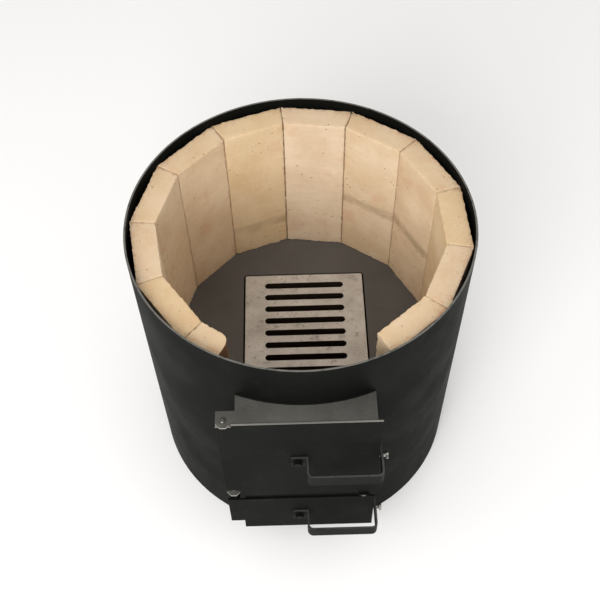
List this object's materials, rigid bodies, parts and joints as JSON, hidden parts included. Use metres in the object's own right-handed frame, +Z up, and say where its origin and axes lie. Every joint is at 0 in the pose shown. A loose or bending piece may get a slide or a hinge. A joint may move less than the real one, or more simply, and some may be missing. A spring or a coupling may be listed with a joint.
{
  "type": "brick-lined cauldron stove",
  "caption": "Round steel stove lined with standing fireclay slabs, with a loose slotted grate and a front neck closed by a fire door and an ash door on one hinge rod.",
  "frame": {"origin": "centre of the shell's bottom edge, on the ground and on the shell's axis", "axes": "+Z up along the shell's axis, -Y towards the doors at the front, +X to the right as seen from the front"},
  "size_m": [0.5, 0.5635, 0.5],
  "materials": {
    "stove_paint": "matt dark grey heat-resistant paint on sheet steel",
    "floor_paint": "matt grey-brown heat-resistant paint on steel plate",
    "handle_paint": "satin dark paint on bent steel strip and on the bolts through it",
    "fastener_steel": "bare and zinc-plated steel",
    "fireclay": "rough fired fireclay",
    "cast_iron": "raw sand-cast iron"
  },
  "bodies": {
    "stove": {"shell": "stove_paint", "floor_plate": "floor_paint", "grate_ledges": "floor_paint", "ash_floor": "stove_paint", "neck_top": "stove_paint", "neck_left_side": "stove_paint", "neck_right_side": "stove_paint", "neck_crossbar": "stove_paint", "throat_floor": "floor_paint", "neck_bottom": "stove_paint", "middle_ear": "stove_paint", "bottom_ear": "stove_paint", "hinge_rod": "fastener_steel", "hinge_spacer": "fastener_steel", "rest_bracket": "stove_paint", "rest_screw": "fastener_steel", "keeper_bolts": "fastener_steel", "keeper_nuts": "fastener_steel", "brick_01": "fireclay", "brick_02": "fireclay", "brick_03": "fireclay", "brick_04": "fireclay", "brick_05": "fireclay", "brick_06": "fireclay", "brick_07": "fireclay", "brick_08": "fireclay", "brick_09": "fireclay", "brick_10": "fireclay", "brick_11": "fireclay", "brick_12": "fireclay"},
    "fire_door": {"fire_door_panel": "stove_paint", "fire_door_lugs": "stove_paint", "fire_pivot_bolt": "handle_paint", "fire_pivot_washer": "handle_paint", "fire_pivot_nut": "handle_paint"},
    "ash_door": {"ash_door_panel": "stove_paint", "ash_door_lugs": "stove_paint", "ash_pivot_bolt": "handle_paint", "ash_pivot_washer": "handle_paint", "ash_pivot_nut": "handle_paint"},
    "fire_latch": {"fire_handle": "handle_paint"},
    "ash_latch": {"ash_handle": "handle_paint"},
    "loose_grate": {"grate": "cast_iron"}
  },
  "joints": [
    {"name": "fire_door_hinge", "type": "hinge", "parent": "stove", "child": "fire_door", "pos_m": [-0.1105, -0.272, 0.31], "axis": [0, 0, -1], "range_deg": [0, 135]},
    {"name": "ash_door_hinge", "type": "hinge", "parent": "stove", "child": "ash_door", "pos_m": [-0.1105, -0.272, 0.14], "axis": [0, 0, -1], "range_deg": [0, 135]},
    {"name": "fire_latch_pivot", "type": "hinge", "parent": "fire_door", "child": "fire_latch", "pos_m": [-0.013, -0.282, 0.3095], "axis": [0, -1, 0], "range_deg": [0, 10]},
    {"name": "ash_latch_pivot", "type": "hinge", "parent": "ash_door", "child": "ash_latch", "pos_m": [-0.013, -0.282, 0.1245], "axis": [0, -1, 0], "range_deg": [0, 10]},
    {"name": "grate_lift", "type": "slide", "parent": "stove", "child": "loose_grate", "axis": [0, 0, 1], "range_m": [0, 0.32]}
  ]
}
